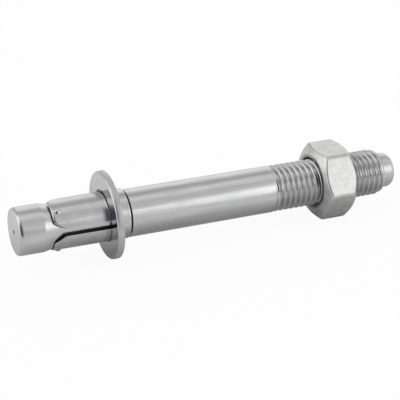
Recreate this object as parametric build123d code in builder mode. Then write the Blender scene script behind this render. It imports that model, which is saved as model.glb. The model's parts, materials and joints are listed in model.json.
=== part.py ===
from build123d import *
import math
import os

# Wedge anchor M20 x 170, in millimetres, lying on a table at Z = 0.
# Distances along the bolt are counted from the flat face of its head.
# The bolt rests in the washer, and the washer and one flat of the nut stand on the table.

# Anchor bolt
bolt_length = 170.0
head_diameter = 19.9
head_length = 10.9
head_edge_width = 1.0
head_edge_drop = 0.3
centre_mark_diameter = 1.8
centre_mark_depth = 0.8
cone_half_angle = 12.0
neck_diameter = 16.6
shank_diameter = 19.9
shoulder_chamfer = 0.4
thread_diameter = 19.8
thread_length = 51.7
thread_lead_length = 2.7
thread_lead_depth = 0.9
thread_pitch = 2.5
thread_depth = 1.4
thread_first_crest = 3.0
thread_facets = 30
dog_diameter = 15.0
dog_length = 6.4
dog_chamfer = 2.0

# Expansion clip
clip_wall = 1.75
clip_length = 32.0
clip_on_cone = 3.3
clip_play = 0.35
clip_shoulder_gap = 0.6
tongue_count = 3
tongue_taper_length = 5.6
tongue_taper_width = 3.4
tongue_corner_radius = 2.0
tongue_side_radius = 6.0
first_tongue_angle = 24.3
slot_width = 3.15
collar_length = 6.2
seam_gap = 0.8
bump_diameter = 2.6
bump_top_diameter = 1.3
bump_height = 0.6
bump_from_tip = 2.5
bump_side_angle = 6.7

# Washer
washer_diameter = 36.7
washer_thickness = 3.0
washer_bore_clearance = 0.5
washer_on_clip = 23.5
washer_edge_chamfer = 0.3

# Hexagon nut
nut_across_flats = 29.8
nut_height = 15.0
nut_corner_radius = 2.0
nut_near_chamfer_angle = 30.0
nut_far_chamfer_angle = 43.0
nut_near_face_diameter = 25.6
nut_far_face_diameter = 28.3
nut_mouth_diameter = 21.6
nut_mouth_depth = 1.2
nut_from_tip = 22.8

# Clearances
turning_clearance = 0.05
thread_clearance = 0.05
seat_clearance = 0.1

# Radii and stations that follow from the sizes above
head_radius = head_diameter / 2
neck_radius = neck_diameter / 2
shank_radius = shank_diameter / 2
thread_radius = thread_diameter / 2
dog_radius = dog_diameter / 2
cone_slope = math.tan(math.radians(cone_half_angle))
cone_end = head_length + (head_radius - neck_radius) / cone_slope
clip_tip = head_length + clip_on_cone
clip_rear = clip_tip + clip_length
collar_start = clip_rear - collar_length
shank_start = clip_rear + clip_shoulder_gap
thread_end = bolt_length - dog_length
thread_start = thread_end - thread_length
clip_inner_radius = neck_radius + clip_play
clip_outer_radius = clip_inner_radius + clip_wall
clip_lift = clip_play - turning_clearance
washer_radius = washer_diameter / 2
washer_bore_radius = clip_outer_radius + washer_bore_clearance
washer_near = clip_tip + washer_on_clip
washer_centre = washer_near + washer_thickness / 2
washer_lift = clip_lift + washer_bore_clearance - seat_clearance
nut_far = bolt_length - nut_from_tip
nut_near = nut_far - nut_height
nut_flat_radius = nut_across_flats / 2
nut_near_slope = math.tan(math.radians(nut_near_chamfer_angle))
nut_far_slope = math.tan(math.radians(nut_far_chamfer_angle))
nut_flat_end = nut_far - (nut_flat_radius - nut_far_face_diameter / 2) * nut_far_slope

# The bolt leans down to its tip, because the washer holds it higher than the nut does
washer_axis_height = washer_radius - washer_lift
nut_reach = nut_flat_end - washer_centre
tilt = math.asin(washer_axis_height / math.hypot(nut_reach, nut_flat_radius))
tilt -= math.atan2(nut_flat_radius, nut_reach)
along = Vector(math.cos(tilt), 0, -math.sin(tilt))
upward = Vector(math.sin(tilt), 0, math.cos(tilt))
front = Vector(0, -1, 0)
end_overhang = (dog_radius - dog_chamfer - head_radius + head_edge_width) * math.sin(tilt)
head_x = -(bolt_length * math.cos(tilt) + end_overhang) / 2
head_z = washer_axis_height + washer_centre * math.sin(tilt)
head_centre = Vector(head_x, 0, head_z)
clip_centre = head_centre + upward * clip_lift

# Planes that hold an axis for turned profiles: X runs along the bolt, Y away from its axis
bolt_side = Plane(origin=head_centre, x_dir=along, z_dir=front)
clip_side = Plane(origin=clip_centre, x_dir=along, z_dir=front)
bolt_axis = Axis(head_centre, along)
clip_axis = Axis(clip_centre, along)



def outward(angle):
    """Direction away from the axis, at an angle in degrees from the top towards the front."""
    turn = math.radians(angle)
    return upward * math.cos(turn) + front * math.sin(turn)


# Right-hand thread, in flat facets between the lines of its crests and roots. It begins inside
# the shank. Its groove fades out there, and again at the end of the lead chamfer.
lead_start = thread_end - thread_lead_length
lead_slope = thread_lead_depth / thread_lead_length
thread_inside = thread_start - 0.5
first_crest = thread_start + thread_first_crest
first_line = math.floor(2 * (thread_inside - first_crest) / thread_pitch - 2)
last_line = math.ceil(2 * (thread_end - first_crest) / thread_pitch)


def thread_corner(line, facet):
    """Corner of the thread on a crest line (even) or a root line (odd), half a pitch apart."""
    station = first_crest + (line / 2 + facet / thread_facets) * thread_pitch
    station = min(max(station, thread_inside), thread_end)
    fade = min((station - thread_start) / thread_pitch, thread_end - station, 1)
    radius = thread_radius - max(station - lead_start, 0) * lead_slope
    if line % 2:
        radius -= thread_depth * max(fade, 0)
    return head_centre + along * station + outward(360 * facet / thread_facets) * radius


thread_faces = []
for line in range(first_line, last_line):
    for facet in range(thread_facets):
        crest = thread_corner(line, facet)
        next_crest = thread_corner(line, facet + 1)
        root = thread_corner(line + 1, facet)
        next_root = thread_corner(line + 1, facet + 1)
        if (root - crest).length > 0.001:
            thread_faces.append(Face(Wire.make_polygon((crest, root, next_root))))
        if (next_root - next_crest).length > 0.001:
            thread_faces.append(Face(Wire.make_polygon((crest, next_root, next_crest))))
for line in (first_line, last_line):
    end_corners = [thread_corner(line, facet) for facet in range(thread_facets)]
    thread_faces.append(Face(Wire.make_polygon(end_corners)))
thread = Solid(Shell(thread_faces))

# Anchor bolt: one turned bar, with its thread
with BuildPart() as anchor_bolt:
    with BuildSketch(bolt_side):
        with BuildLine():
            Polyline(
                (bolt_length, 0),
                (centre_mark_depth, 0),
                (0, centre_mark_diameter / 2),
                (0, head_radius - head_edge_width),
                (head_edge_drop, head_radius - head_edge_drop),
                (head_edge_width, head_radius),
                (head_length, head_radius),
                (cone_end, neck_radius),
                (shank_start, neck_radius),
                (shank_start, shank_radius - shoulder_chamfer),
                (shank_start + shoulder_chamfer, shank_radius),
                (thread_start, shank_radius),
                (thread_start, dog_radius),
                (bolt_length - dog_chamfer, dog_radius),
                (bolt_length, dog_radius - dog_chamfer),
                (bolt_length, 0),
            )
        make_face()
    revolve(axis=bolt_axis)
    add(thread)

# Expansion clip: a strip rolled round the neck, thinned inside its mouth to sit on the cone
mouth_radius = head_radius - clip_on_cone * cone_slope + clip_play
mouth_length = (mouth_radius - clip_inner_radius) / cone_slope
cut_reach = clip_outer_radius + 1
slot_side_angle = math.degrees(math.atan(slot_width / 2 / clip_outer_radius))
slot_half_inside = slot_width / 2 * clip_inner_radius / clip_outer_radius
taper_half = 0.8 * slot_half_inside
taper_end = clip_tip + tongue_taper_length
tip_half = taper_half + tongue_taper_width
tongue_pitch = 360 / tongue_count
slot_angles = [first_tongue_angle + tongue_pitch * (i + 0.5) for i in range(tongue_count)]
bump_angles = [first_tongue_angle + bump_side_angle + tongue_pitch * i for i in range(tongue_count)]


def sideways(angle):
    """Direction square to outward(angle) and to the axis, so that outward is up in its plane."""
    turn = math.radians(angle)
    return front * math.cos(turn) - upward * math.sin(turn)


with BuildPart() as expansion_clip:
    with BuildSketch(clip_side):
        with BuildLine():
            Polyline(
                (clip_tip, mouth_radius),
                (clip_tip, clip_outer_radius),
                (clip_rear, clip_outer_radius),
                (clip_rear, clip_inner_radius),
                (clip_tip + mouth_length, clip_inner_radius),
                close=True,
            )
        make_face()
    revolve(axis=clip_axis)
    for angle in slot_angles:
        # Straight sides, cut square to the sheet
        with BuildSketch(Plane(origin=clip_centre, x_dir=along, z_dir=sideways(angle - slot_side_angle))):
            with Locations((clip_tip - 1, cut_reach)):
                Rectangle(collar_start - clip_tip + 1, clip_outer_radius, align=(Align.MIN, Align.MAX))
        revolve(axis=clip_axis, revolution_arc=2 * slot_side_angle, mode=Mode.SUBTRACT)
        # Tapered corners of the two tongues beside the slot
        with BuildSketch(Plane(origin=clip_centre, x_dir=along, z_dir=outward(angle))):
            with BuildLine():
                FilletPolyline(
                    (taper_end + tongue_side_radius, 0),
                    (taper_end + tongue_side_radius, taper_half),
                    (taper_end, taper_half),
                    (clip_tip, tip_half),
                    (clip_tip, tip_half + 2 * tongue_corner_radius),
                    (clip_tip - 1, tip_half + 2 * tongue_corner_radius),
                    (clip_tip - 1, 0),
                    radius=(0, tongue_side_radius, tongue_corner_radius, 0, 0),
                )
                mirror(about=Plane.XZ)
            make_face()
        extrude(amount=cut_reach, mode=Mode.SUBTRACT)
    # Seam, from the root of the last slot to the rear edge
    with BuildSketch(Plane(origin=clip_centre, x_dir=along, z_dir=outward(slot_angles[-1]))):
        with Locations((collar_start - 1, 0)):
            Rectangle(collar_length + 2, seam_gap, align=(Align.MIN, Align.CENTER))
    extrude(amount=cut_reach, mode=Mode.SUBTRACT)
    # Bumps that grip the hole
    for angle in bump_angles:
        bump_root = clip_outer_radius - bump_height
        bump_foot = clip_centre + along * (clip_tip + bump_from_tip) + outward(angle) * bump_root
        with BuildSketch(Plane(origin=bump_foot, z_dir=outward(angle))):
            Circle(bump_diameter / 2)
        with BuildSketch(Plane(origin=bump_foot + outward(angle) * 2 * bump_height, z_dir=outward(angle))):
            Circle(bump_top_diameter / 2)
        loft()

# Washer: upright on its rim, with the clip resting in the bottom of its bore
washer_face = head_centre + along * washer_near
with BuildPart() as washer:
    with BuildSketch(Plane(origin=(washer_face.X, 0, washer_radius), x_dir=(0, 1, 0), z_dir=(1, 0, 0))):
        Circle(washer_radius)
        Circle(washer_bore_radius, mode=Mode.SUBTRACT)
    extrude(amount=washer_thickness)
    rims = washer.edges().filter_by(GeomType.CIRCLE).sort_by(SortBy.RADIUS)[-2:]
    chamfer(rims, washer_edge_chamfer)

# Hexagon nut: one flat down on the table, chamfered at both faces, with its thread at the crest
nut_corner = nut_across_flats / math.sqrt(3)
nut_near_run = (nut_corner - nut_near_face_diameter / 2) * nut_near_slope
nut_far_run = (nut_corner - nut_far_face_diameter / 2) * nut_far_slope
with BuildPart() as hex_nut:
    with BuildSketch(Plane(origin=head_centre + along * nut_near, x_dir=(0, 1, 0), z_dir=along)):
        RegularPolygon(nut_flat_radius, 6, major_radius=False)
        fillet(vertices(), nut_corner_radius)
    extrude(amount=nut_height)
    with BuildSketch(bolt_side):
        with BuildLine():
            Polyline(
                (nut_near, 0),
                (nut_near, nut_near_face_diameter / 2),
                (nut_near + nut_near_run, nut_corner),
                (nut_far - nut_far_run, nut_corner),
                (nut_far, nut_far_face_diameter / 2),
                (nut_far, 0),
                close=True,
            )
        make_face()
    revolve(axis=bolt_axis, mode=Mode.INTERSECT)
    nut_bore = thread_radius + thread_clearance
    with BuildSketch(bolt_side):
        with BuildLine():
            Polyline(
                (nut_near, 0),
                (nut_near, nut_mouth_diameter / 2),
                (nut_near + nut_mouth_depth, nut_bore),
                (nut_far - nut_mouth_depth, nut_bore),
                (nut_far, nut_mouth_diameter / 2),
                (nut_far, 0),
                close=True,
            )
        make_face()
    revolve(axis=bolt_axis, mode=Mode.SUBTRACT)

os.makedirs("parts", exist_ok=True)
anchor_bolt.part.label = "anchor_bolt"
export_step(anchor_bolt.part, "parts/anchor_bolt.step")
expansion_clip.part.label = "expansion_clip"
export_step(expansion_clip.part, "parts/expansion_clip.step")
washer.part.label = "washer"
export_step(washer.part, "parts/washer.step")
hex_nut.part.label = "hex_nut"
export_step(hex_nut.part, "parts/hex_nut.step")
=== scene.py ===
import json
import math

import bmesh
import bpy
import numpy as np
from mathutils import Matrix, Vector


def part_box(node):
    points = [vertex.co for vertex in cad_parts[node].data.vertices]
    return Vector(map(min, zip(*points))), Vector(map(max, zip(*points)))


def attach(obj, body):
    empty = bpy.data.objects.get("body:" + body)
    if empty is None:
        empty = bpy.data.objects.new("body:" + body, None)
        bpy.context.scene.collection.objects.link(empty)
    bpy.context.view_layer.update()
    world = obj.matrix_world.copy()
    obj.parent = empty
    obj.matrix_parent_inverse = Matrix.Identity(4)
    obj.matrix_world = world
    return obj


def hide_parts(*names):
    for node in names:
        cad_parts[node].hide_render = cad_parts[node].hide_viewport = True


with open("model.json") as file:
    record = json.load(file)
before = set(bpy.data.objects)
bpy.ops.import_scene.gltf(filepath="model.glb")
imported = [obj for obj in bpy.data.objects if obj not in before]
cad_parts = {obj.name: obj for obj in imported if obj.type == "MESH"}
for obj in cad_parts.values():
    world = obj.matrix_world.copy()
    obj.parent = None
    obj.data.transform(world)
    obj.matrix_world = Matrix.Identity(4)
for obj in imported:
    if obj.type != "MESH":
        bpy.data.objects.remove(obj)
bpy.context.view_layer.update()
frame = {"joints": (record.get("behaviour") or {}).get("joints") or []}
bpy.ops.object.select_all(action="DESELECT")

# Anchor bolt: one bar of stainless steel, turned to a cone behind its head and to a dog
# point at its tip. The thread is rolled into it, so its grooves run out on the shank and
# its last turns are cut down by the chamfer at the tip.

# Sizes are in millimetres. Distances along the bolt are counted from the flat end of its head.
mm = 0.001
bolt_spin = next(joint for joint in frame["joints"] if joint["name"] == "bolt_spin")
head_centre = Vector(bolt_spin["pos_m"]) / mm
bolt_lean = math.atan2(-bolt_spin["axis"][2], bolt_spin["axis"][0])
bolt_direction = Vector((math.cos(bolt_lean), 0, -math.sin(bolt_lean)))
bolt_length = 170.0
head_radius = 9.95
head_length = 10.9
head_edge_width = 1.0
head_edge_length = 1.5
centre_mark_radius = 0.9
centre_mark_depth = 1.1
neck_radius = 8.3
neck_root = 0.4
cone_end = 18.66
# The cone is a little steeper where it meets the neck and the head
cone_blend_slope = 0.25
shank_start = 46.8
shank_radius = 9.95
shoulder_chamfer = 0.4
thread_start = 111.3
thread_end = 163.6
thread_pitch = 2.5
thread_crest = 114.9
thread_run_out = 2.0
thread_lead_radius = 9.92
thread_lead_length = 2.7
thread_lead_depth = 0.9
dog_radius = 7.5
dog_root = 1.2
dog_rounding = 2.2
dog_rounding_length = 2.8
# Half of one groove: distance along the bolt from the middle of the crest, and radius
groove_half = ((0.10, 9.90), (0.19, 9.84), (0.45, 9.39), (0.70, 8.96), (0.95, 8.53), (1.08, 8.40),
               (1.25, 8.35))
steps_round = 96


def draw_line(name, points):
    """A line of joined corners, drawn by extruding one corner from each point to the next."""
    bpy.ops.object.select_all(action="DESELECT")
    bpy.ops.mesh.primitive_plane_add(size=1)
    piece = bpy.context.object
    piece.name = piece.data.name = name
    bpy.ops.object.mode_set(mode="EDIT")
    bpy.ops.mesh.select_mode(type="VERT")
    bpy.ops.mesh.merge(type="CENTER")
    bpy.ops.transform.translate(value=points[0])
    for start, end in zip(points, points[1:]):
        step = Vector(end) - Vector(start)
        bpy.ops.mesh.extrude_vertices_move(TRANSFORM_OT_translate={"value": step})
    bpy.ops.object.mode_set(mode="OBJECT")
    return piece


def apply_modifier(piece, kind, **settings):
    """Adds a modifier with its settings, and applies it."""
    modifier = piece.modifiers.new(kind.lower(), kind)
    for name, value in settings.items():
        setattr(modifier, name, value)
    bpy.context.view_layer.objects.active = piece
    bpy.ops.object.modifier_apply(modifier=modifier.name)


def round_places(piece):
    """Place of each corner round the X axis: distance along it, angle from the top, and radius."""
    places = np.empty(len(piece.data.vertices) * 3)
    piece.data.vertices.foreach_get("co", places)
    x, y, z = places.reshape(-1, 3).T
    return x.copy(), np.arctan2(-y, z), np.hypot(y, z)


def set_round_places(piece, along, turn, radius):
    """Puts each corner at a distance along the X axis, an angle from the top, and a radius."""
    places = np.column_stack((along, -radius * np.sin(turn), radius * np.cos(turn)))
    piece.data.vertices.foreach_set("co", places.ravel())
    piece.data.update()


def select_rim(piece, along, reach=0.001):
    """Selects the open rim that lies at a distance along the X axis, in edit mode."""
    bpy.ops.mesh.select_all(action="DESELECT")
    mesh = bmesh.from_edit_mesh(piece.data)
    for edge in mesh.edges:
        if edge.is_boundary and all(abs(corner.co.x - along) < reach for corner in edge.verts):
            edge.select_set(True)
    bmesh.update_edit_mesh(piece.data)


def next_ring(piece, along, radius):
    """Extrudes the selected rim, and sets the new one by distance along the X axis and radius.
    Each is a number, or a function of the angle from the top."""
    bpy.ops.mesh.extrude_edges_move()
    mesh = bmesh.from_edit_mesh(piece.data)
    for corner in mesh.verts:
        if corner.select:
            turn = math.atan2(-corner.co.y, corner.co.z)
            here = along(turn) if callable(along) else along
            out = radius(turn) if callable(radius) else radius
            corner.co = (here, -out * math.sin(turn), out * math.cos(turn))
    bmesh.update_edit_mesh(piece.data)


def next_arc(piece, centre, rounding, from_turn, to_turn, steps=6, length=None):
    """Extrudes rings along an arc of a turned profile, round a centre given along the X axis and
    outwards. Turns are in degrees from the first of these to the second. The arc is as long along
    the axis as it is high, or takes a length of its own."""
    length = length or rounding
    for step in range(steps + 1):
        turn = math.radians(from_turn + (to_turn - from_turn) * step / steps)
        next_ring(piece, centre[0] + length * math.cos(turn), centre[1] + rounding * math.sin(turn))


def helical_thread(name, half, first_crest, start, end):
    """A helical thread surface round the X axis, cut off square at its start and end."""
    whole = [(x, r) for x, r in half] + [(thread_pitch - x, r) for x, r in half[-2::-1]]
    whole.append((thread_pitch + half[0][0], half[0][1]))
    turns_before = math.ceil((first_crest - start) / thread_pitch) + 2
    first = first_crest - turns_before * thread_pitch
    piece = draw_line(name, [(first + x, 0, r) for x, r in whole])
    turns = math.ceil((end - first) / thread_pitch) + 1
    apply_modifier(piece, "SCREW", axis="X", angle=2 * math.pi, screw_offset=thread_pitch,
                   iterations=turns, steps=steps_round, render_steps=steps_round)
    bpy.ops.object.mode_set(mode="EDIT")
    bpy.ops.mesh.select_all(action="SELECT")
    bpy.ops.mesh.remove_doubles(threshold=0.001)
    for cut, side in ((start, "clear_inner"), (end, "clear_outer")):
        bpy.ops.mesh.select_all(action="SELECT")
        bpy.ops.mesh.bisect(plane_co=(cut, 0, 0), plane_no=(1, 0, 0), threshold=0.0001, **{side: True})
    bpy.ops.mesh.select_all(action="SELECT")
    bpy.ops.mesh.remove_doubles(threshold=0.01)
    bpy.ops.object.mode_set(mode="OBJECT")
    # Corners that lie within a hair of a cut are set on it, so that its rim is flat
    hair = 0.02
    along, turn, radius = round_places(piece)
    along[along < start + hair] = start
    along[along > end - hair] = end
    set_round_places(piece, along, turn, radius)
    return piece


def close_shell(piece):
    """Merges doubles and turns all faces outwards, and leaves edit mode."""
    bpy.ops.mesh.select_all(action="SELECT")
    bpy.ops.mesh.remove_doubles(threshold=0.0005)
    bpy.ops.mesh.normals_make_consistent(inside=False)
    bpy.ops.object.mode_set(mode="OBJECT")


def lay_down(piece, centre, lean, smooth_angle):
    """Shades the finished piece, and sets it in its place in metres, with its place in its mesh."""
    bpy.ops.object.select_all(action="DESELECT")
    piece.select_set(True)
    bpy.context.view_layer.objects.active = piece
    bpy.ops.object.shade_smooth_by_angle(angle=math.radians(smooth_angle))
    piece.scale = (mm, mm, mm)
    piece.rotation_euler = (0, lean, 0)
    piece.location = Vector(centre) * mm
    bpy.ops.object.transform_apply(location=True, rotation=True, scale=True)


# Thread, fading out into the shank at one end and cut down by the lead chamfer at the other
bolt = helical_thread("turned_anchor_bolt", groove_half, thread_crest, thread_start, thread_end)
along, turn, radius = round_places(bolt)
depth = np.clip((along - thread_start) / thread_run_out, 0, 1)
depth = depth * depth * (3 - 2 * depth)
radius = shank_radius - (shank_radius - radius) * depth
into_lead = (along - thread_end + thread_lead_length) / thread_lead_length
lead = thread_lead_radius - thread_lead_depth * into_lead
set_round_places(bolt, along, turn, np.minimum(radius, lead))
bpy.ops.object.mode_set(mode="EDIT")
bpy.ops.mesh.select_mode(type="EDGE")

# Tip: the face that the thread ends on, the root of the dog, and its rounded end
select_rim(bolt, thread_end)
next_arc(bolt, (thread_end + dog_root, dog_radius + dog_root), dog_root, 180, 270)
next_ring(bolt, thread_end + dog_root + 0.3, dog_radius)
next_arc(bolt, (bolt_length - dog_rounding_length, dog_radius - dog_rounding), dog_rounding, 90, 0, 9,
         dog_rounding_length)
next_ring(bolt, bolt_length, 0.5)
bpy.ops.mesh.merge(type="CENTER")

# Shank, shoulder, neck, cone and head, with a ring close by on each side of a corner
select_rim(bolt, thread_start)
for along, radius in ((thread_start - 0.4, shank_radius),
                      (shank_start + 2 * shoulder_chamfer, shank_radius),
                      (shank_start + shoulder_chamfer, shank_radius),
                      (shank_start, shank_radius - shoulder_chamfer),
                      (shank_start, neck_radius + neck_root),
                      (shank_start - 0.3 * neck_root, neck_radius + 0.3 * neck_root),
                      (shank_start - neck_root, neck_radius),
                      (cone_end + 1, neck_radius),
                      (cone_end + 0.3, neck_radius),
                      (cone_end - 0.3, neck_radius + 0.3 * cone_blend_slope),
                      (cone_end - 1, neck_radius + cone_blend_slope),
                      (head_length + 0.6, head_radius - 0.6 * cone_blend_slope),
                      (head_length + 0.15, head_radius - 0.04),
                      (head_length - 0.1, head_radius),
                      (head_length - 0.6, head_radius),
                      (head_edge_length + 0.5, head_radius)):
    next_ring(bolt, along, radius)
# Rounded edge of the head, its flat end, and the small hollow that held it in the lathe
next_arc(bolt, (head_edge_length, head_radius - head_edge_width), head_edge_width, 90, 180, 8,
         head_edge_length)
next_ring(bolt, 0, head_radius - head_edge_width - 0.4)
next_ring(bolt, 0, centre_mark_radius + 0.4)
next_ring(bolt, 0, centre_mark_radius + 0.05)
next_ring(bolt, 0.06, centre_mark_radius - 0.05)
next_ring(bolt, centre_mark_depth * 0.6, centre_mark_radius * 0.6)
next_ring(bolt, centre_mark_depth, 0.12)
bpy.ops.mesh.merge(type="CENTER")
close_shell(bolt)
lay_down(bolt, head_centre, bolt_lean, 35)


def srgb(colour):
    """A hex colour as linear red, green, blue and alpha."""
    parts = [int(colour[i:i + 2], 16) / 255 for i in (1, 3, 5)]
    return [p / 12.92 if p <= 0.04045 else ((p + 0.055) / 1.055) ** 2.4 for p in parts] + [1]


def add_node(tree, kind, inputs=None, output=0, **settings):
    """Adds a node with its settings, and gives back one of its outputs. Each input is given a
    value, a hex colour, or the output that feeds it."""
    made = tree.nodes.new(kind)
    for name, value in settings.items():
        setattr(made, name, value)
    for name, value in (inputs or {}).items():
        if isinstance(value, bpy.types.NodeSocket):
            tree.links.new(value, made.inputs[name])
        else:
            made.inputs[name].default_value = srgb(value) if isinstance(value, str) else value
    return made.outputs[output]


def bare_steel(name):
    """A new material of bare stainless steel, with its node tree and its shader."""
    material = bpy.data.materials.new(name)
    material.use_nodes = True
    shader = material.node_tree.nodes["Principled BSDF"]
    shader.inputs["Metallic"].default_value = 1
    return material, material.node_tree, shader


def place_in_mm(tree, centre, lean):
    """Place on a piece in millimetres, measured along and across it from its own centre."""
    return add_node(tree, "ShaderNodeMapping",
                    {"Vector": add_node(tree, "ShaderNodeTexCoord", output="Object"),
                     "Location": Vector(centre) * mm, "Rotation": (0, lean, 0), "Scale": (mm, mm, mm)},
                    vector_type="TEXTURE")


def from_axis(tree, place):
    """Distance from a piece's own X axis in millimetres."""
    across = add_node(tree, "ShaderNodeVectorMath", {0: place, 1: (0, 1, 1)}, operation="MULTIPLY")
    return add_node(tree, "ShaderNodeVectorMath", {0: across}, output="Value", operation="LENGTH")


def grain(tree, place, size, detail=3.0):
    """Uneven marks from 0 to 1, mostly near 0.5. Their size on X, Y and Z is in millimetres."""
    spacing = add_node(tree, "ShaderNodeVectorMath", {0: place, 1: [1 / s for s in size]},
                       operation="MULTIPLY")
    return add_node(tree, "ShaderNodeTexNoise",
                    {"Vector": spacing, "Scale": 1.0, "Detail": detail, "Roughness": 0.55})


def lay_over(tree, tone, colour, share, most=1.0, none_at=0.3, most_at=0.7):
    """Lays a colour over a tone, from not at all where the share is low to most where it is high."""
    cover = add_node(tree, "ShaderNodeMapRange",
                     {"Value": share, "From Min": none_at, "From Max": most_at, "To Max": most})
    return add_node(tree, "ShaderNodeMix", {0: cover, 6: tone, 7: colour}, output=2, data_type="RGBA")


def rubbed_edge(tree, width):
    """Share of edge on a surface: how far it turns within a width in millimetres."""
    rounded = add_node(tree, "ShaderNodeBevel", {"Radius": width * mm}, samples=6)
    flat = add_node(tree, "ShaderNodeNewGeometry", output="Normal")
    turned = add_node(tree, "ShaderNodeVectorMath", {0: rounded, 1: flat}, output="Value",
                      operation="DOT_PRODUCT")
    return add_node(tree, "ShaderNodeMapRange", {"Value": turned, "From Min": 0.93, "From Max": 0.995,
                    "To Min": 1.0, "To Max": 0.0})


def crevice_shade(tree, reach):
    """Share of painted shade in crevices: how shut in a surface is by its own piece within a reach in
    millimetres.
    """
    open_share = add_node(tree, "ShaderNodeAmbientOcclusion", {"Distance": reach * mm}, output="AO",
                          samples=8, only_local=True)
    return add_node(tree, "ShaderNodeMapRange", {"Value": open_share, "From Min": 0.25, "From Max": 0.8,
                    "To Min": 1.0, "To Max": 0.0})


def finish_steel(tree, shader, tone, roughness, relief):
    """Gives the shader of a steel its tone, its roughness and its relief."""
    tree.links.new(tone, shader.inputs["Base Color"])
    tree.links.new(roughness, shader.inputs["Roughness"])
    tree.links.new(relief, shader.inputs["Normal"])


# Bright drawn bar: the shank keeps the long faint streaks of the die and of polishing, and
# the head and the tip have rings of turning round them. A few soft smudges cross both.
bolt_steel, tree, shader = bare_steel("drawn_and_turned_stainless_steel")
place = place_in_mm(tree, head_centre, bolt_lean)
from_head = add_node(tree, "ShaderNodeSeparateXYZ", {0: place}, output="X")
outwards = from_axis(tree, place)
# Streaks are 25 mm long and 0.9 mm wide: real ones are under 0.1 mm wide, too fine to show
streaks = grain(tree, place, (25, 0.9, 0.9), 4.0)
smudges = grain(tree, place, (14, 6, 6), 2.0)
# Rings are 0.5 mm apart, for a lathe's 0.1 mm, which is too fine to show
along_profile = add_node(tree, "ShaderNodeMath", {0: from_head, 1: outwards}, operation="ADD")
rings = add_node(tree, "ShaderNodeTexNoise", {"W": along_profile, "Scale": 2.0, "Detail": 3.0},
                 noise_dimensions="1D")
faint_rings = add_node(tree, "ShaderNodeMapRange", {"Value": rings, "From Min": 0.3, "From Max": 0.7,
                       "To Min": 0.42, "To Max": 0.58})
# Turned at both ends, drawn between them
shank_middle = (cone_end + thread_end) / 2
drawn = add_node(tree, "ShaderNodeMath", {0: from_head, 1: shank_middle, 2: thread_end - shank_middle},
                 operation="COMPARE")
marks = add_node(tree, "ShaderNodeMix", {0: drawn, 2: faint_rings, 3: streaks})
edge = rubbed_edge(tree, 0.5)
# The hollow in the head's end is painted dark as shade, from just below the end face
mark_middle = (centre_mark_depth + 0.1) / 2
below_face = add_node(tree, "ShaderNodeMath", {0: from_head, 1: mark_middle, 2: mark_middle - 0.04},
                      operation="COMPARE")
near_middle = add_node(tree, "ShaderNodeMath", {0: outwards, 1: centre_mark_radius + 0.05},
                       operation="LESS_THAN")
painted_hollow_shade = add_node(tree, "ShaderNodeMath", {0: below_face, 1: near_middle}, operation="MULTIPLY")
tone = lay_over(tree, "#c4c4c4", "#d4d4d4", marks)
tone = lay_over(tree, tone, "#b8b9ba", smudges, 0.35)
tone = lay_over(tree, tone, "#dcdcdc", edge, 0.5, 0, 1)
# The bolt's own crevices, such as the thread's roots, are darkened: painted shade
tone = lay_over(tree, tone, "#454344", crevice_shade(tree, 0.8), 0.6, 0, 1)
# The hollow in the head's end is painted near black: painted shade
tone = lay_over(tree, tone, "#2b292a", painted_hollow_shade, 1, 0, 1)
# The rolled thread is smoother than the rest, the dog is duller, and worn edges are scuffed
thread_middle = (thread_start + thread_end) / 2
on_thread = add_node(tree, "ShaderNodeMath", {0: from_head, 1: thread_middle, 2: thread_end - thread_middle},
                     operation="COMPARE")
on_dog = add_node(tree, "ShaderNodeMath", {0: from_head, 1: thread_end}, operation="GREATER_THAN")
roughness = add_node(tree, "ShaderNodeMapRange", {"Value": smudges, "From Min": 0.3, "From Max": 0.7,
                     "To Min": 0.2, "To Max": 0.28})
for where, more in ((on_thread, -0.05), (on_dog, 0.05), (edge, 0.15)):
    roughness = add_node(tree, "ShaderNodeMath", {0: where, 1: more, 2: roughness}, operation="MULTIPLY_ADD")
relief = add_node(tree, "ShaderNodeBump", {"Height": marks, "Strength": 0.5, "Distance": 0.003 * mm})
finish_steel(tree, shader, tone, roughness, relief)
bolt.data.materials.append(bolt_steel)
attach(bolt, "bolt")
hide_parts("anchor_bolt")

# Expansion clip: a strip of stainless sheet, stamped with three tongues and rolled round the
# neck of the bolt, so that its ends meet at a seam. Its edges are slightly rounded by the press,
# and a bump near each tip grips the hole.

# The bolt's neck lies in the clip, so the clip's centre is higher than the bolt's
clip_lift = 0.3
clip_centre = head_centre + clip_lift * Vector((math.sin(bolt_lean), 0, math.cos(bolt_lean)))
clip_tip = 14.2
collar_start = 40.0
collar_length = 6.2
clip_wall = 1.75
clip_outer_radius = 10.4
clip_inner_radius = clip_outer_radius - clip_wall
clip_mouth_radius = 9.60
mouth_slope = math.tan(math.radians(12))
tongue_set_in = 0.2
tongue_taper_length = 5.6
tongue_taper_width = 3.4
tongue_corner_radius = 2.0
tongue_side_radius = 6.0
first_tongue_angle = 24.3
slot_width = 3.15
# Half a slot, as an angle in degrees
slot_half = 8.61
seam_width = 0.8
tip_rounding = 0.8
tip_rounding_drop = 0.4
bump_height = 0.6
bump_foot_radius = 1.45
bump_top_radius = 0.5
bump_along = clip_tip + 2.5
bump_turns = [first_tongue_angle + 6.7 + 120 * tongue for tongue in range(3)]
strip_edge_rounding = 0.14
first_slot = first_tongue_angle - 60
seam_half = math.degrees(seam_width / 2 / clip_outer_radius)

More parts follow.
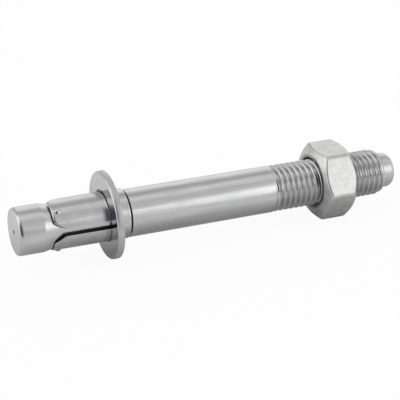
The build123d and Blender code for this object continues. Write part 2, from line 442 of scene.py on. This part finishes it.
# Outline of a tongue beside a slot, by distance from the slot's middle: the straight side, an arc
# into the taper, the taper, and an arc into the tip
taper_angle = math.atan2(tongue_taper_width, tongue_taper_length)
side_arc_length = tongue_side_radius * math.tan(taper_angle / 2)
corner_arc_length = tongue_corner_radius * math.tan((math.pi / 2 - taper_angle) / 2)
taper_foot = 0.8 * slot_width / 2 * clip_inner_radius / clip_outer_radius
taper_top = taper_foot + tongue_taper_width
side_arc_end = taper_foot + side_arc_length * math.sin(taper_angle)
corner_arc_start = taper_top - corner_arc_length * math.sin(taper_angle)
corner_arc_end = taper_top + corner_arc_length


def tongue_tip(from_slot):
    """Where a tongue begins along the bolt, by the angle in degrees from the middle of a slot."""
    side = clip_outer_radius * math.sin(math.radians(min(max(from_slot, slot_half), 60)))
    if side > corner_arc_end:
        return clip_tip
    if side > corner_arc_start:
        drop = math.sqrt(tongue_corner_radius ** 2 - (corner_arc_end - side) ** 2)
        return clip_tip + tongue_corner_radius - drop
    if side > side_arc_end:
        return clip_tip + (taper_top - side) * tongue_taper_length / tongue_taper_width
    drop = math.sqrt(tongue_side_radius ** 2 - (taper_foot + tongue_side_radius - side) ** 2)
    return clip_tip + tongue_taper_length + side_arc_length - drop


# Angles of the sheet's columns, from one side of the seam to the other: close together on
# the tapered corners of the tongues and across each bump
corner_sides = [slot_width / 2, side_arc_end, 2.4, 2.9, 3.4, corner_arc_start, 4.3, 4.7, 5.1, corner_arc_end]
corner_turns = [math.degrees(math.asin(side / clip_outer_radius)) for side in corner_sides]
bump_reach = 8.4
columns = []
for slot in range(3):
    middle = first_slot + 120 * slot
    bump = bump_turns[slot] - middle
    turns = corner_turns + list(np.arange(corner_turns[-1] + 3, bump - bump_reach - 0.6, 3.2))
    turns += list(np.linspace(bump - bump_reach, bump + bump_reach, 17))
    turns += list(np.linspace(bump + bump_reach, 120 - corner_turns[-1], 12)[1:-1])
    turns += [120 - turn for turn in reversed(corner_turns)]
    if slot == 0:
        turns = list(np.linspace(seam_half, slot_half, 5)[:-1]) + turns
    if slot == 2:
        turns += list(np.linspace(120 - slot_half, 120 - seam_half, 5)[1:])
    else:
        turns += list(np.linspace(120 - slot_half, 120 + slot_half, 7)[1:-1])
    columns += [middle + turn for turn in turns]
# Distances from the tip at the rows of a full tongue, and from its root at those of the collar
tongue_length = collar_start - clip_tip
tongue_rows = [0, 0.08, 0.2, 0.4, 0.7] + list(np.arange(1.0, 4.1, 0.24))
tongue_rows += list(np.linspace(4.6, tongue_length - 1, 24)) + [tongue_length - 0.4, tongue_length]
collar_rows = [0.4, 1.4, 2.6, 3.8, 5.0, 5.8, collar_length]
rows = len(tongue_rows) + len(collar_rows)


def sheet_place(row, column):
    """Place of one corner of the strip's outer face, on the X axis and round it."""
    tip = tongue_tip(abs((column - first_slot + 60) % 120 - 60))
    if row < len(tongue_rows):
        along = tip + tongue_rows[row] / tongue_length * (collar_start - tip)
    else:
        along = collar_start + collar_rows[row - len(tongue_rows)]
    radius = clip_outer_radius - tongue_set_in * max(0, collar_start - along) / tongue_length
    into_tip = max(0, 1 - (along - tip) / tip_rounding)
    radius -= tip_rounding_drop * (1 - math.sqrt(1 - into_tip * into_tip))
    off_bump = min(math.hypot(along - bump_along, radius * math.radians((column - bump + 180) % 360 - 180))
                   for bump in bump_turns)
    rise = min(max((bump_foot_radius - off_bump) / (bump_foot_radius - bump_top_radius), 0), 1)
    radius += bump_height * rise * rise * (3 - 2 * rise)
    turn = math.radians(column)
    return along, -radius * math.sin(turn), radius * math.cos(turn)


bpy.ops.object.select_all(action="DESELECT")
bpy.ops.mesh.primitive_grid_add(x_subdivisions=len(columns) - 1, y_subdivisions=rows - 1, size=1)
clip = bpy.context.object
clip.name = clip.data.name = "rolled_expansion_clip"
places = np.array([sheet_place(row, column) for row in range(rows) for column in columns])
clip.data.vertices.foreach_set("co", places.ravel())
# The slots are cut out between the tongues, and all faces turned outwards
bpy.ops.object.mode_set(mode="EDIT")
bpy.ops.mesh.select_mode(type="FACE")
bpy.ops.mesh.select_all(action="DESELECT")
sheet = bmesh.from_edit_mesh(clip.data)
for face in sheet.faces:
    middle = face.calc_center_median()
    turn = math.degrees(math.atan2(-middle.y, middle.z))
    in_slot = abs((turn - first_slot + 60) % 120 - 60) < slot_half
    face.select_set(in_slot and middle.x < collar_start)
bmesh.update_edit_mesh(clip.data)
bpy.ops.mesh.delete(type="FACE")
bpy.ops.mesh.select_all(action="SELECT")
bpy.ops.mesh.normals_make_consistent(inside=False)
sheet = bmesh.from_edit_mesh(clip.data)
sheet.faces.ensure_lookup_table()
face = sheet.faces[0]
middle = face.calc_center_median()
if face.normal.y * middle.y + face.normal.z * middle.z < 0:
    bpy.ops.mesh.flip_normals()
bpy.ops.object.mode_set(mode="OBJECT")
apply_modifier(clip, "SOLIDIFY", thickness=clip_wall, offset=-1)
# The inner wall fits the neck, and opens at the tips over the bolt's cone
along, turn, radius = round_places(clip)
# Corners nearer the axis than this are on the inner wall
inner_wall_limit = 9.3
bore = np.maximum(clip_inner_radius, clip_mouth_radius - (along - clip_tip) * mouth_slope)
set_round_places(clip, along, turn, np.where(radius < inner_wall_limit, bore, radius))
apply_modifier(clip, "BEVEL", width=strip_edge_rounding, segments=3, limit_method="ANGLE",
               angle_limit=math.radians(50))
lay_down(clip, clip_centre, bolt_lean, 40)

# Cold-rolled strip: satin, with faint lines of rolling round the collar and a few scuffs along
# the bolt from being slid over the cone
clip_steel, tree, shader = bare_steel("cold_rolled_stainless_strip")
place = place_in_mm(tree, clip_centre, bolt_lean)
# Rolling lines are 0.7 mm apart along the bolt, for real ones of 0.05 mm, too fine to show
rolling = grain(tree, place, (0.7, 9, 9), 4.0)
scuffs = grain(tree, place, (18, 0.8, 0.8))
clouds = grain(tree, place, (7, 5, 5), 2.0)
marks = add_node(tree, "ShaderNodeMix", {0: 0.6, 2: rolling, 3: scuffs})
tone = lay_over(tree, "#c2c2c2", "#d4d4d4", marks)
tone = lay_over(tree, tone, "#b2b2b3", clouds, 0.4)
tone = lay_over(tree, tone, "#d8d8d8", rubbed_edge(tree, 0.4), 0.35, 0, 1)
# The clip's own crevices are darkened nearly to black: painted shade
tone = lay_over(tree, tone, "#2e2c2d", crevice_shade(tree, 1.2), 0.9, 0, 1)
roughness = add_node(tree, "ShaderNodeMapRange", {"Value": clouds, "From Min": 0.3, "From Max": 0.7,
                     "To Min": 0.19, "To Max": 0.27})
relief = add_node(tree, "ShaderNodeBump", {"Height": marks, "Strength": 0.5, "Distance": 0.008 * mm})
finish_steel(tree, shader, tone, roughness, relief)

# Sheared edges of the strip: torn and rough, and painted near black, a painted shade for the slots and along
# the tips. Tears are
# 0.6 mm across, for real ones of 0.1 mm, too fine to show
sheared_edge, tree, shader = bare_steel("sheared_stainless_edge_painted_shade")
tearing = grain(tree, place_in_mm(tree, clip_centre, bolt_lean), (0.6, 0.6, 0.6))
tone = lay_over(tree, "#262526", "#565455", tearing)
roughness = add_node(tree, "ShaderNodeMapRange", {"Value": tearing, "From Min": 0.3, "From Max": 0.7,
                     "To Min": 0.45, "To Max": 0.65})
relief = add_node(tree, "ShaderNodeBump", {"Height": tearing, "Strength": 0.6, "Distance": 0.05 * mm})
finish_steel(tree, shader, tone, roughness, relief)
clip.data.materials.append(clip_steel)
clip.data.materials.append(sheared_edge)
# A face is on a sheared edge where it doesn't face towards the axis or away from it
for face in clip.data.polygons:
    from_centre = face.center - clip_centre * mm
    from_centre -= bolt_direction * from_centre.dot(bolt_direction)
    if abs(face.normal.dot(from_centre.normalized())) < 0.35:
        face.material_index = 1
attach(clip, "clip")
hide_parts("expansion_clip")

# Washer: a plain washer punched from stainless strip and tumbled, so that its rims are rounded,
# the one that the punch drew in more than the other. It stands upright on the table, and the
# clip rests in the bottom of its bore.
washer_near_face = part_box("washer")[0].x / mm
washer_thickness = 3.0
washer_radius = 18.35
washer_bore_radius = 10.9
washer_near_rounding = 1.0
washer_far_rounding = 0.35
washer_bore_rounding = 0.3

bpy.ops.object.select_all(action="DESELECT")
bpy.ops.mesh.primitive_circle_add(vertices=144, radius=washer_bore_radius, rotation=(0, math.pi / 2, 0))
bpy.ops.object.transform_apply(rotation=True)
washer = bpy.context.object
washer.name = washer.data.name = "punched_washer"
bpy.ops.object.mode_set(mode="EDIT")
bpy.ops.mesh.select_mode(type="EDGE")
bpy.ops.mesh.select_all(action="SELECT")
bpy.ops.transform.translate(value=(washer_bore_rounding, 0, 0))
near_bore = (washer_bore_rounding, washer_bore_radius + washer_bore_rounding)
near_rim = (washer_near_rounding, washer_radius - washer_near_rounding)
far_rim = (washer_thickness - washer_far_rounding, washer_radius - washer_far_rounding)
far_bore = (washer_thickness - washer_bore_rounding, washer_bore_radius + washer_bore_rounding)
next_arc(washer, near_bore, washer_bore_rounding, 270, 180)
next_ring(washer, 0, washer_radius - washer_near_rounding - 0.2)
next_arc(washer, near_rim, washer_near_rounding, 180, 90)
next_arc(washer, far_rim, washer_far_rounding, 90, 0)
next_ring(washer, washer_thickness, washer_bore_radius + 0.8)
next_arc(washer, far_bore, washer_bore_rounding, 360, 270)
next_ring(washer, washer_bore_rounding, washer_bore_radius)
close_shell(washer)
lay_down(washer, (washer_near_face, 0, washer_radius), 0, 30)

# Punched and tumbled strip: smooth enough to mirror what is near, clouded by the tumbling
# stones, with brighter rims and small nicks in them
washer_steel, tree, shader = bare_steel("tumbled_stainless_strip")
place = place_in_mm(tree, (washer_near_face, 0, washer_radius), 0)
# Dimples of the stones are 0.8 mm across, for real ones of 0.1 mm, too fine to show
dimples = grain(tree, place, (0.8, 0.8, 0.8))
clouds = grain(tree, place, (6, 4, 4))
edge = rubbed_edge(tree, 0.6)
tone = lay_over(tree, "#c4c4c5", "#d2d2d3", dimples)
tone = lay_over(tree, tone, "#adadaf", clouds, 0.5)
tone = lay_over(tree, tone, "#dcdcdc", edge, 0.45, 0, 1)
# The sheared rim is rougher than the faces, and its edges are scuffed
on_rim = add_node(tree, "ShaderNodeMapRange", {"Value": from_axis(tree, place),
                  "From Min": washer_radius - 0.35, "From Max": washer_radius - 0.05})
roughness = add_node(tree, "ShaderNodeMapRange", {"Value": clouds, "From Min": 0.3, "From Max": 0.7,
                     "To Min": 0.13, "To Max": 0.2})
for where, more in ((on_rim, 0.3), (edge, 0.2)):
    roughness = add_node(tree, "ShaderNodeMath", {0: where, 1: more, 2: roughness}, operation="MULTIPLY_ADD")
relief = add_node(tree, "ShaderNodeBump", {"Height": dimples, "Strength": 0.5, "Distance": 0.005 * mm})
finish_steel(tree, shader, tone, roughness, relief)
washer.data.materials.append(washer_steel)
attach(washer, "washer")
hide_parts("washer")

# Hexagon nut: forged from stainless steel, turned to a cone at both faces, and tapped. It
# stands on one flat, and its thread meshes with the bolt's.
nut_near = 132.2
nut_far = 147.2
nut_flat_radius = 14.9
nut_corner_radius = 2.0
nut_near_face_radius = 12.8
nut_far_face_radius = 14.15
nut_near_slope = math.tan(math.radians(30))
nut_far_slope = math.tan(math.radians(43))
nut_edge_softening = 0.1
# The far cone is hollow by a hair, halfway out
nut_far_hollow = 0.015
nut_mouth_radius = 10.8
nut_mouth_depth = 1.2
nut_bore_radius = 9.95
nut_thread_gap = 0.1
nut_crest_radius = 8.75
# Distance from the axis to the centre of a corner's arc, and half the angle that the arc takes up
corner_centre = (nut_flat_radius - nut_corner_radius) / math.cos(math.radians(30))
corner_reach = math.degrees(math.atan2(nut_corner_radius * math.sin(math.radians(30)),
                                       corner_centre + nut_corner_radius * math.cos(math.radians(30))))


def hexagon_radius(turn):
    """Distance from the axis to the rounded hexagon, by the angle from the top, where a flat is."""
    from_flat = (math.degrees(turn) + 30) % 60 - 30
    from_corner = 30 - abs(from_flat)
    if from_corner >= corner_reach:
        return nut_flat_radius / math.cos(math.radians(from_flat))
    beside = corner_centre * math.sin(math.radians(from_corner))
    inside = corner_centre * math.cos(math.radians(from_corner))
    return inside + math.sqrt(nut_corner_radius ** 2 - beside ** 2)


def cone_out(turn, face_radius, share):
    """How far a cone has widened from its face, at a share of the way to the hexagon."""
    return (hexagon_radius(turn) - nut_edge_softening - face_radius) * share


def near_edge(turn):
    """Where the near cone meets the hexagon, along the bolt."""
    return nut_near + (hexagon_radius(turn) - nut_near_face_radius) * nut_near_slope


def far_edge(turn):
    """Where the far cone meets the hexagon, along the bolt."""
    return nut_far - (hexagon_radius(turn) - nut_far_face_radius) * nut_far_slope


flat_turns = list(np.linspace(corner_reach - 30, 30 - corner_reach, 17))
corner_turns = list(np.linspace(30 - corner_reach, 30 + corner_reach, 9)[1:-1])
nut_turns = [math.radians(60 * side + turn) for side in range(6) for turn in flat_turns + corner_turns]

bpy.ops.object.select_all(action="DESELECT")
bpy.ops.mesh.primitive_circle_add(vertices=len(nut_turns), radius=nut_mouth_radius)
nut = bpy.context.object
nut.name = nut.data.name = "tapped_hexagon_nut"
for corner, turn in zip(nut.data.vertices, nut_turns):
    corner.co = (nut_near, -nut_mouth_radius * math.sin(turn), nut_mouth_radius * math.cos(turn))
bpy.ops.object.mode_set(mode="EDIT")
bpy.ops.mesh.select_mode(type="EDGE")
bpy.ops.mesh.select_all(action="SELECT")
# Near face and cone, flats, far cone and far face
next_ring(nut, nut_near, nut_mouth_radius + 0.4)
next_ring(nut, nut_near, nut_near_face_radius - 0.4)
next_ring(nut, nut_near, nut_near_face_radius - 0.08)
next_ring(nut, nut_near + 0.05, nut_near_face_radius + 0.08)
for share in (0.35, 0.7, 1):
    next_ring(nut, lambda turn: nut_near + cone_out(turn, nut_near_face_radius, share) * nut_near_slope,
              lambda turn: nut_near_face_radius + cone_out(turn, nut_near_face_radius, share))
next_ring(nut, lambda turn: near_edge(turn) + 0.13, hexagon_radius)
next_ring(nut, lambda turn: near_edge(turn) + 0.6, hexagon_radius)
next_ring(nut, lambda turn: far_edge(turn) - 0.6, hexagon_radius)
next_ring(nut, lambda turn: far_edge(turn) - 0.13, hexagon_radius)
for share, hollow in ((1, 0), (0.5, nut_far_hollow)):
    next_ring(nut, lambda turn: nut_far - cone_out(turn, nut_far_face_radius, share) * nut_far_slope - hollow,
              lambda turn: nut_far_face_radius + cone_out(turn, nut_far_face_radius, share))
next_ring(nut, nut_far - 0.05, nut_far_face_radius + 0.08)
next_ring(nut, nut_far, nut_far_face_radius - 0.08)
next_ring(nut, nut_far, nut_far_face_radius - 0.4)
next_ring(nut, nut_far, nut_mouth_radius + 0.4)
next_ring(nut, nut_far, nut_mouth_radius)
bpy.ops.object.mode_set(mode="OBJECT")

# The tapped thread, opened out to a cone at each mouth. It stops short of each face by a hair,
# and a thin ring joins the two.
mouth_gap = 0.02
tapped_half = [(x, max(r + nut_thread_gap, nut_crest_radius)) for x, r in groove_half]
tapped = helical_thread("tapped_thread", tapped_half, thread_crest, nut_near + mouth_gap, nut_far - mouth_gap)
along, turn, radius = round_places(tapped)
into_nut = np.minimum(along - nut_near, nut_far - along)
mouth = nut_mouth_radius - into_nut * (nut_mouth_radius - nut_bore_radius) / nut_mouth_depth
set_round_places(tapped, along, turn, np.maximum(radius, mouth - mouth_gap))
bpy.ops.object.select_all(action="DESELECT")
tapped.select_set(True)
nut.select_set(True)
bpy.context.view_layer.objects.active = nut
bpy.ops.object.join()
bpy.ops.object.mode_set(mode="EDIT")
for rims_at in (nut_near + mouth_gap / 2, nut_far - mouth_gap / 2):
    select_rim(nut, rims_at, mouth_gap / 2 + 0.001)
    bpy.ops.mesh.bridge_edge_loops()
close_shell(nut)
lay_down(nut, head_centre, bolt_lean, 35)

# Cold-forged and tumbled: the flats are frosted and slightly mottled, the turned cones are
# smoother, and the corners are rubbed bright
nut_steel, tree, shader = bare_steel("cold_forged_stainless_steel")
place = place_in_mm(tree, head_centre, bolt_lean)
outwards = from_axis(tree, place)
# Mottling is 3 mm across, as real. Frosting is 0.7 mm, for 0.05 mm, too fine to show
mottling = grain(tree, place, (3.2, 3.2, 3.2))
frosting = grain(tree, place, (0.7, 0.7, 0.7), 2.0)
marks = add_node(tree, "ShaderNodeMix", {0: 0.45, 2: mottling, 3: frosting})
tone = lay_over(tree, "#b8b8b7", "#dadad9", marks, 1, 0.35, 0.65)
tone = lay_over(tree, tone, "#dedede", rubbed_edge(tree, 0.5), 0.4, 0, 1)
# The nut's own crevices are darkened nearly to black: painted shade
tone = lay_over(tree, tone, "#2e2c2d", crevice_shade(tree, 1.6), 0.9, 0, 1)
# The tapped thread and the faces round its mouths are painted dark: painted shade of the bore
mouth_shade = add_node(tree, "ShaderNodeMapRange", {"Value": outwards, "From Min": nut_mouth_radius - 0.1,
                 "From Max": nut_mouth_radius + 1.6, "To Min": 0.85, "To Max": 0.0})
tone = lay_over(tree, tone, "#2c282c", mouth_shade, 1, 0, 1)
roughness = add_node(tree, "ShaderNodeMapRange", {"Value": mottling, "From Min": 0.3, "From Max": 0.7,
                     "To Min": 0.28, "To Max": 0.38})
pitted = add_node(tree, "ShaderNodeBump", {"Height": marks, "Strength": 0.6, "Distance": 0.05 * mm})
# The faces and their cones have the rings of turning, 0.6 mm apart for a lathe's 0.15 mm
facing = add_node(tree, "ShaderNodeVectorMath", {0: add_node(tree, "ShaderNodeTexCoord", output="Normal"),
                  1: bolt_direction}, output="Value", operation="DOT_PRODUCT")
squareness = add_node(tree, "ShaderNodeMath", {0: facing}, operation="ABSOLUTE")
on_face = add_node(tree, "ShaderNodeMapRange", {"Value": squareness, "From Min": 0.3, "From Max": 0.5})
rings = add_node(tree, "ShaderNodeTexNoise", {"W": outwards, "Scale": 1.7, "Detail": 2.0},
                 noise_dimensions="1D")
relief = add_node(tree, "ShaderNodeBump", {"Height": rings, "Strength": on_face, "Distance": 0.03 * mm,
                  "Normal": pitted})
finish_steel(tree, shader, tone, roughness, relief)
nut.data.materials.append(nut_steel)
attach(nut, "nut")
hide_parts("hex_nut")

# Studio: a plain white floor that keeps a faint shadow, a soft pale room all round, and one
# wide soft lamp in front on the right

# Floor: the share of white that the camera sees in it, and the shares that metal mirrors near the part and
# further off.
# Less white near the part is a painted shadow, seen in the metal's reflections. Distances are in metres.
seen_white = 0.94
near_white = 0.1
far_white = 0.62
shade_from = 0.016
shade_to = 0.048
bpy.ops.object.select_all(action="DESELECT")
bpy.ops.mesh.primitive_plane_add(size=12)
floor = bpy.context.object
floor.name = floor.data.name = "studio_floor"
floor_paint = bpy.data.materials.new("white_floor")
floor_paint.use_nodes = True
tree = floor_paint.node_tree
seen = add_node(tree, "ShaderNodeLightPath", output="Is Camera Ray")
mirrored = add_node(tree, "ShaderNodeLightPath", output="Is Glossy Ray")
squeezed = add_node(tree, "ShaderNodeVectorMath", {0: add_node(tree, "ShaderNodeTexCoord", output="Object"),
                    1: (0.25, 1, 1)}, operation="MULTIPLY")
from_part = add_node(tree, "ShaderNodeVectorMath", {0: squeezed}, output="Value", operation="LENGTH")
# Painted shadow: metal mirrors less of the floor's white close to the part
mirrored_white_painted_shadow = add_node(tree, "ShaderNodeMapRange", {"Value": from_part, "From Min": shade_from,
                        "From Max": shade_to, "To Min": near_white, "To Max": far_white},
                        interpolation_type="SMOOTHSTEP")
seen_share = add_node(tree, "ShaderNodeMath", {0: seen, 1: seen_white}, operation="MULTIPLY")
white_share = add_node(tree, "ShaderNodeMath", {0: mirrored, 1: mirrored_white_painted_shadow, 2: seen_share},
                       operation="MULTIPLY_ADD")
tone = add_node(tree, "ShaderNodeMix", {0: seen, 6: "#d0d0d0", 7: "#ffffff"}, output=2, data_type="RGBA")
paint = add_node(tree, "ShaderNodeBsdfDiffuse", {"Color": tone})
white = add_node(tree, "ShaderNodeEmission", {"Color": "#ffffff", "Strength": 1.0})
mixed = add_node(tree, "ShaderNodeMixShader", {0: white_share, 1: paint, 2: white})
tree.links.new(mixed, tree.nodes["Material Output"].inputs["Surface"])
floor.data.materials.append(floor_paint)

# Room: its brightness by angle over the top, from the horizon behind to the one in front
room_strength = 1.5
room_levels = ((0, 1.0), (22, 1.18), (34, 1.05), (60, 0.5), (90, 0.95), (114, 0.7), (150, 0.9), (180, 0.92))
world = bpy.data.worlds.new("pale_studio")
bpy.context.scene.world = world
world.use_nodes = True
tree = world.node_tree
direction = add_node(tree, "ShaderNodeTexCoord", output="Generated")
parts = add_node(tree, "ShaderNodeSeparateXYZ", {0: direction}).node
height = add_node(tree, "ShaderNodeMath", {0: parts.outputs["Z"], 1: parts.outputs["Y"]}, operation="ARCTAN2")
round_room = add_node(tree, "ShaderNodeMath", {0: height, 1: 1 / (2 * math.pi), 2: 0.5},
                      operation="MULTIPLY_ADD")
level = add_node(tree, "ShaderNodeValToRGB", {0: round_room})
bands = level.node.color_ramp
bands.interpolation = "EASE"
while len(bands.elements) < len(room_levels):
    bands.elements.new(0.5)
for stop, (angle, brightness) in zip(bands.elements, room_levels):
    stop.position = 0.5 + angle / 360
    stop.color = [brightness / room_strength] * 3 + [1]
side_wall = add_node(tree, "ShaderNodeMapRange", {"Value": parts.outputs["X"], "From Min": -0.55,
                     "From Max": -0.85}, interpolation_type="SMOOTHSTEP")
level = add_node(tree, "ShaderNodeMix", {0: side_wall, 6: level, 7: (0.93, 0.93, 0.93, 1)}, output=2,
                 data_type="RGBA")
# Places that are darker or brighter than the walls round them: a gap overhead in front, where
# the camera stands, a gap behind, and a bounce card overhead on the left. Each has a direction,
# the angles at which it is whole and gone, and a shade.
for towards, whole, gone, shade in (((-0.38, -0.42, 0.82), 14, 34, (0.16, 0.15, 0.17, 1)),
                                    ((-0.45, -0.84, 0.30), 24, 50, (0.06, 0.055, 0.065, 1)),
                                    ((-0.25, 0.90, 0.36), 8, 32, (0.40, 0.40, 0.41, 1)),
                                    ((-0.50, 0.00, 0.87), 10, 30, (0.95, 0.95, 0.95, 1))):
    facing = add_node(tree, "ShaderNodeVectorMath", {0: direction, 1: Vector(towards).normalized()},
                      output="Value", operation="DOT_PRODUCT")
    here = add_node(tree, "ShaderNodeMapRange", {"Value": facing, "From Min": math.cos(math.radians(gone)),
                    "From Max": math.cos(math.radians(whole))}, interpolation_type="SMOOTHSTEP")
    level = add_node(tree, "ShaderNodeMix", {0: here, 6: level, 7: shade}, output=2, data_type="RGBA")
room = tree.nodes["Background"]
room.inputs["Strength"].default_value = room_strength
tree.links.new(level, room.inputs["Color"])
backdrop = add_node(tree, "ShaderNodeBackground", {"Color": "#ffffff", "Strength": 1.0})
seen = add_node(tree, "ShaderNodeLightPath", output="Is Camera Ray")
mixed = add_node(tree, "ShaderNodeMixShader", {0: seen, 1: room.outputs[0], 2: backdrop})
tree.links.new(mixed, tree.nodes["World Output"].inputs["Surface"])

# Lamp: a softbox on the right, aimed at the part
lamp = bpy.data.lights.new("front_softbox", "AREA")
lamp.shape = "RECTANGLE"
lamp.size = 1.25
lamp.size_y = 0.7
lamp.energy = 2.1
softbox = bpy.data.objects.new("front_softbox", lamp)
bpy.context.scene.collection.objects.link(softbox)
softbox.location = (0.896, -0.924, 0.56)
softbox.rotation_euler = (-softbox.location).to_track_quat("-Z", "Y").to_euler()

# Camera: a long lens, above and in front of the head
camera_place = (-0.211258, -0.493776, 0.296845)
camera_tilt = 62.390
camera_turn = -22.7267
view = bpy.data.cameras.new("camera")
view.sensor_width = 36
view.lens = 130.0
camera = bpy.data.objects.new("camera", view)
bpy.context.scene.collection.objects.link(camera)
camera.location = camera_place
camera.rotation_euler = (math.radians(camera_tilt), 0, math.radians(camera_turn))
bpy.context.scene.camera = camera
bpy.context.scene.view_settings.view_transform = "Standard"
